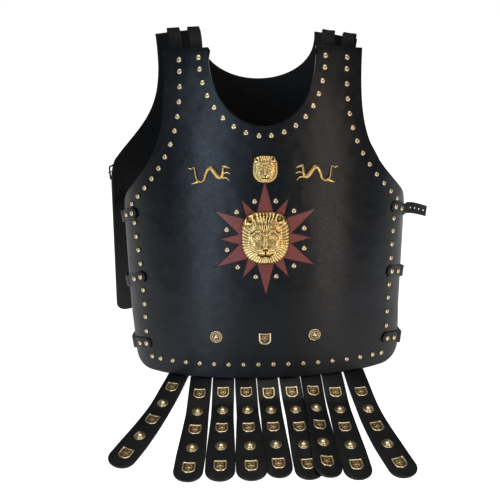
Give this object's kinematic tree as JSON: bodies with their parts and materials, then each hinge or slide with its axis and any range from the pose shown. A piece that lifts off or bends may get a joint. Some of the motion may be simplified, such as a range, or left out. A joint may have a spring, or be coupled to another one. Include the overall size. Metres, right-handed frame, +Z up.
{
  "type": "leather armour vest",
  "caption": "Stiff riveted leather cuirass with brass lion masks, splayed studded skirt straps and side straps with buckles, standing by itself.",
  "frame": {"origin": "middle of the bounding box in plan, on the floor that the skirt straps lie on", "axes": "+X to the right in the picture (the wearer's left), -Y out of the front, +Z up"},
  "size_m": [0.5556, 0.4846, 0.5426],
  "materials": {
    "leather": "smooth semi-gloss black",
    "leather_strap": "satin black",
    "brass": "antique brass",
    "black_metal": "black"
  },
  "bodies": {
    "vest": {"front_panel": "leather", "back_panel": "leather", "shoulder_strap_outer_left": "leather_strap", "shoulder_strap_inner_left": "leather_strap", "shoulder_strap_inner_right": "leather_strap", "shoulder_strap_outer_right": "leather_strap", "skirt_strap_1": "leather_strap", "skirt_strap_2": "leather_strap", "skirt_strap_3": "leather_strap", "skirt_strap_4": "leather_strap", "skirt_strap_5": "leather_strap", "skirt_strap_6": "leather_strap", "skirt_strap_7": "leather_strap", "skirt_strap_8": "leather_strap", "skirt_strap_9": "leather_strap", "chape_top_left": "leather_strap", "side_strap_top_left": "leather_strap", "chape_mid_left": "leather_strap", "side_strap_mid_left": "leather_strap", "chape_bottom_left": "leather_strap", "side_strap_bottom_left": "leather_strap", "chape_top_right": "leather_strap", "side_strap_top_right": "leather_strap", "chape_mid_right": "leather_strap", "buckle_mid_right": "black_metal", "prong_mid_right": "black_metal", "side_strap_mid_right": "leather_strap", "chape_bottom_right": "leather_strap", "buckle_bottom_right": "black_metal", "prong_bottom_right": "black_metal", "side_strap_bottom_right": "leather_strap", "lion_mask": "brass", "small_lion": "brass", "serpent_left": "brass", "serpent_right": "brass", "concho_left": "brass", "concho_right": "brass", "small_shield": "brass"},
    "frame_top_left": {"buckle_top_left": "black_metal"},
    "tongue_top_left": {"prong_top_left": "black_metal"},
    "frame_mid_left": {"buckle_mid_left": "black_metal"},
    "tongue_mid_left": {"prong_mid_left": "black_metal"},
    "frame_bottom_left": {"buckle_bottom_left": "black_metal"},
    "tongue_bottom_left": {"prong_bottom_left": "black_metal"},
    "frame_top_right": {"buckle_top_right": "black_metal"},
    "tongue_top_right": {"prong_top_right": "black_metal"}
  },
  "joints": [
    {"name": "frame_hinge_top_left", "type": "hinge", "parent": "vest", "child": "frame_top_left", "pos_m": [-0.24777, 0.15211, 0.31287], "axis": [-0.0157, 0.0872, -0.9961], "range_deg": [0, 80]},
    {"name": "tongue_hinge_top_left", "type": "hinge", "parent": "frame_top_left", "child": "tongue_top_left", "pos_m": [-0.24777, 0.15211, 0.31287], "axis": [-0.0157, 0.0872, -0.9961], "range_deg": [0, 60]},
    {"name": "frame_hinge_mid_left", "type": "hinge", "parent": "vest", "child": "frame_mid_left", "pos_m": [-0.24689, 0.17632, 0.16256], "axis": [-0.0383, 0.1151, -0.9926], "range_deg": [0, 80]},
    {"name": "tongue_hinge_mid_left", "type": "hinge", "parent": "frame_mid_left", "child": "tongue_mid_left", "pos_m": [-0.24689, 0.17632, 0.16256], "axis": [-0.0383, 0.1151, -0.9926], "range_deg": [0, 60]},
    {"name": "frame_hinge_bottom_left", "type": "hinge", "parent": "vest", "child": "frame_bottom_left", "pos_m": [-0.25425, 0.18645, 0.05312], "axis": [-0.0372, 0.1148, -0.9927], "range_deg": [0, 80]},
    {"name": "tongue_hinge_bottom_left", "type": "hinge", "parent": "frame_bottom_left", "child": "tongue_bottom_left", "pos_m": [-0.25425, 0.18645, 0.05312], "axis": [-0.0372, 0.1148, -0.9927], "range_deg": [0, 60]},
    {"name": "frame_hinge_top_right", "type": "hinge", "parent": "vest", "child": "frame_top_right", "pos_m": [0.19401, 0.12851, 0.30387], "axis": [0.0157, -0.0872, 0.9961], "range_deg": [0, 80]},
    {"name": "tongue_hinge_top_right", "type": "hinge", "parent": "frame_top_right", "child": "tongue_top_right", "pos_m": [0.19401, 0.12851, 0.30387], "axis": [0.0157, -0.0872, 0.9961], "range_deg": [0, 60]}
  ]
}
